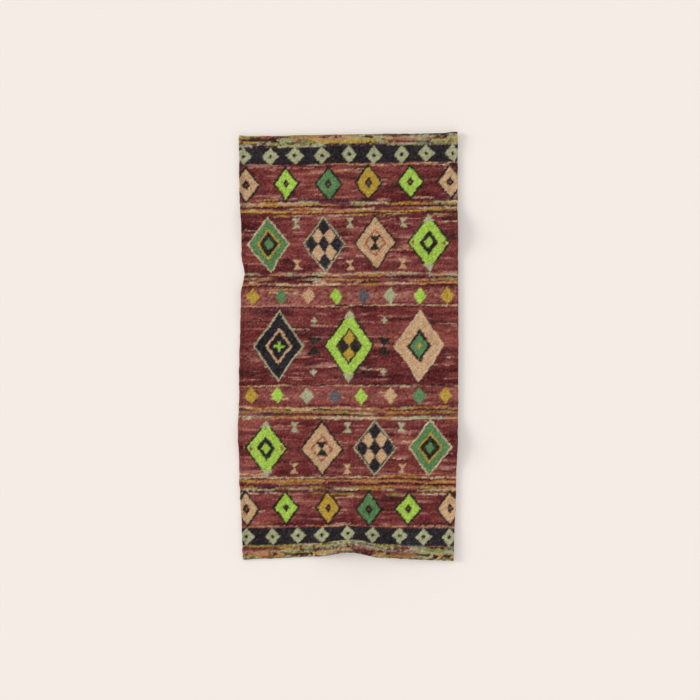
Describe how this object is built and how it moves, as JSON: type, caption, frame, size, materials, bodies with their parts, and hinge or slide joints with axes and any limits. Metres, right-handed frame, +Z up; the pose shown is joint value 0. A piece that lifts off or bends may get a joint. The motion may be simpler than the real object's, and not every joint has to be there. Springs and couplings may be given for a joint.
{
  "type": "bath towel",
  "caption": "Rectangular hemmed bath towel laid out face up, with soft ripples and edges that stray a little from straight.",
  "frame": {"origin": "on the surface the towel lies on, under the middle of its box", "axes": "+X across the towel to its right-hand side edge, +Y along it to its upper end, +Z up, out of its printed face"},
  "size_m": [0.769, 1.489, 0.04],
  "materials": {
    "printed_towelling": "sheared pile, printed all over, matt"
  },
  "bodies": {
    "root": {"towel_cloth": "printed_towelling"}
  },
  "joints": []
}
